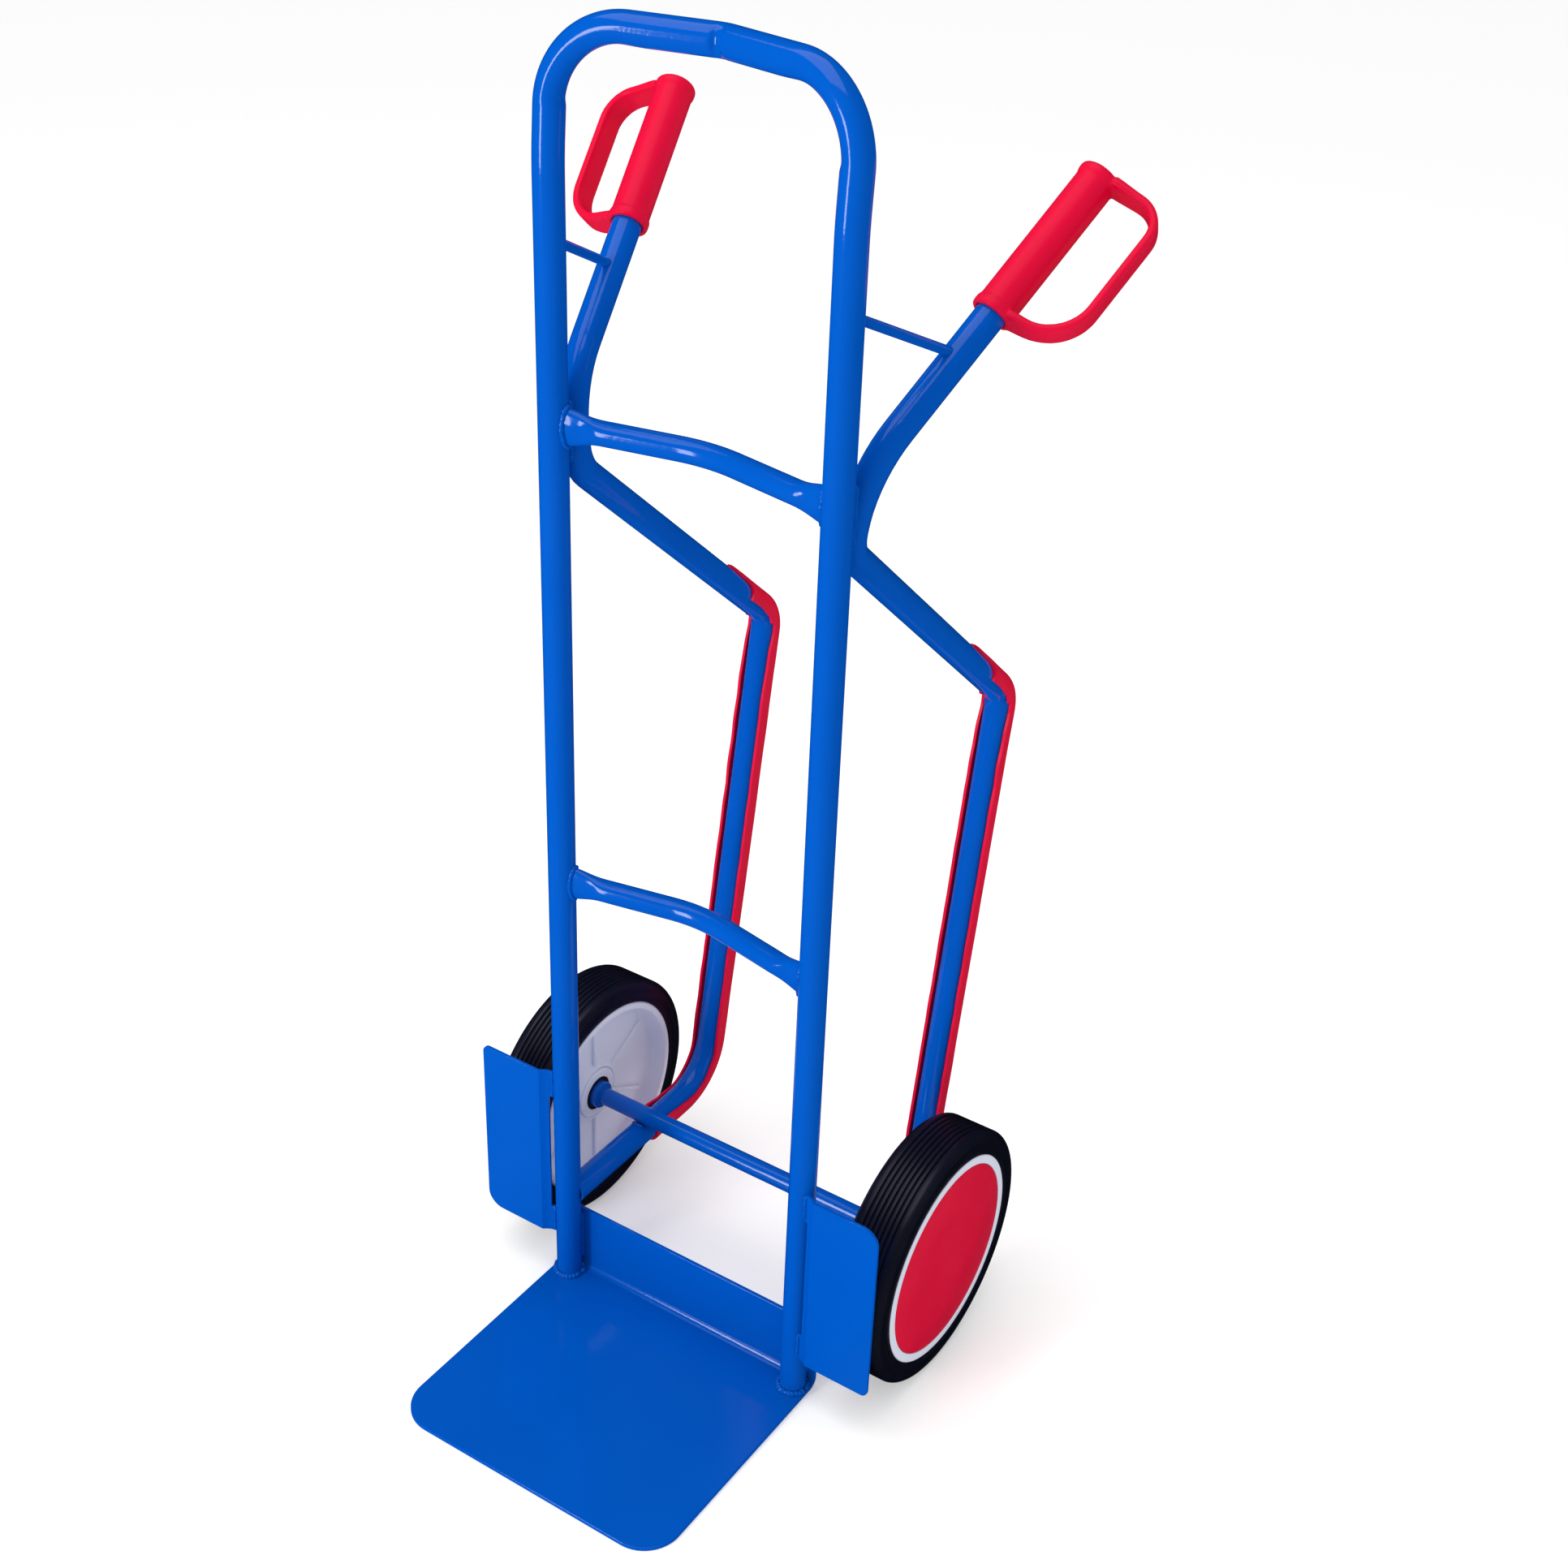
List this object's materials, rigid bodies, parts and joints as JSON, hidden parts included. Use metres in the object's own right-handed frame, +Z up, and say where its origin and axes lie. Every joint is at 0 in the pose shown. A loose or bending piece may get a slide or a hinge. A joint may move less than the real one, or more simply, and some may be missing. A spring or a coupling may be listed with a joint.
{
  "type": "hand truck",
  "caption": "Upright two-wheeled hand truck with a tube hoop, toe plate, closed side grips, rear stair skids with clip-on covers, and solid-tyred wheels behind flat guards.",
  "frame": {"origin": "on the floor under the middle of the hoop, on the toe plate's underside, midway between the two uprights' centre lines", "axes": "+X across the truck along the axle, +Y to the rear, towards the grips, skids and wheels (the toe plate points to -Y), +Z up"},
  "size_m": [0.518, 0.5646, 1.2305],
  "materials": {
    "blue_paint": "glossy blue powder coat over steel",
    "red_plastic": "satin red moulded plastic",
    "tyre_rubber": "black solid rubber",
    "rim_plastic": "smooth pale lilac-white moulded plastic",
    "bush_plastic": "blue nylon",
    "black_plastic": "black nylon",
    "zinc_steel": "bright zinc plate"
  },
  "bodies": {
    "truck": {"frame_hoop": "blue_paint", "crossbar_upper": "blue_paint", "crossbar_lower": "blue_paint", "toe_plate": "blue_paint", "axle": "blue_paint", "right_side_tube": "blue_paint", "left_side_tube": "blue_paint", "right_stay_rod": "blue_paint", "left_stay_rod": "blue_paint", "right_axle_collar": "blue_paint", "left_axle_collar": "blue_paint", "right_wheel_guard": "blue_paint", "left_wheel_guard": "blue_paint", "right_washer": "zinc_steel", "left_washer": "zinc_steel", "right_circlip": "zinc_steel", "left_circlip": "zinc_steel", "right_grip": "red_plastic", "left_grip": "red_plastic", "right_skid_cover": "red_plastic", "left_skid_cover": "red_plastic"},
    "right_wheel": {"right_tyre": "tyre_rubber", "right_rim": "rim_plastic", "right_inner_bush": "bush_plastic", "right_outer_bush": "bush_plastic", "right_hub_seal": "black_plastic", "right_hub_cap": "red_plastic"},
    "left_wheel": {"left_tyre": "tyre_rubber", "left_rim": "rim_plastic", "left_inner_bush": "bush_plastic", "left_outer_bush": "bush_plastic", "left_hub_seal": "black_plastic", "left_hub_cap": "red_plastic"}
  },
  "joints": [
    {"name": "right_wheel_spin", "type": "hinge", "parent": "truck", "child": "right_wheel", "pos_m": [0.2, 0.116, 0.127], "axis": [1, 0, 0], "continuous": true},
    {"name": "left_wheel_spin", "type": "hinge", "parent": "truck", "child": "left_wheel", "pos_m": [-0.2, 0.116, 0.127], "axis": [1, 0, 0], "continuous": true}
  ]
}
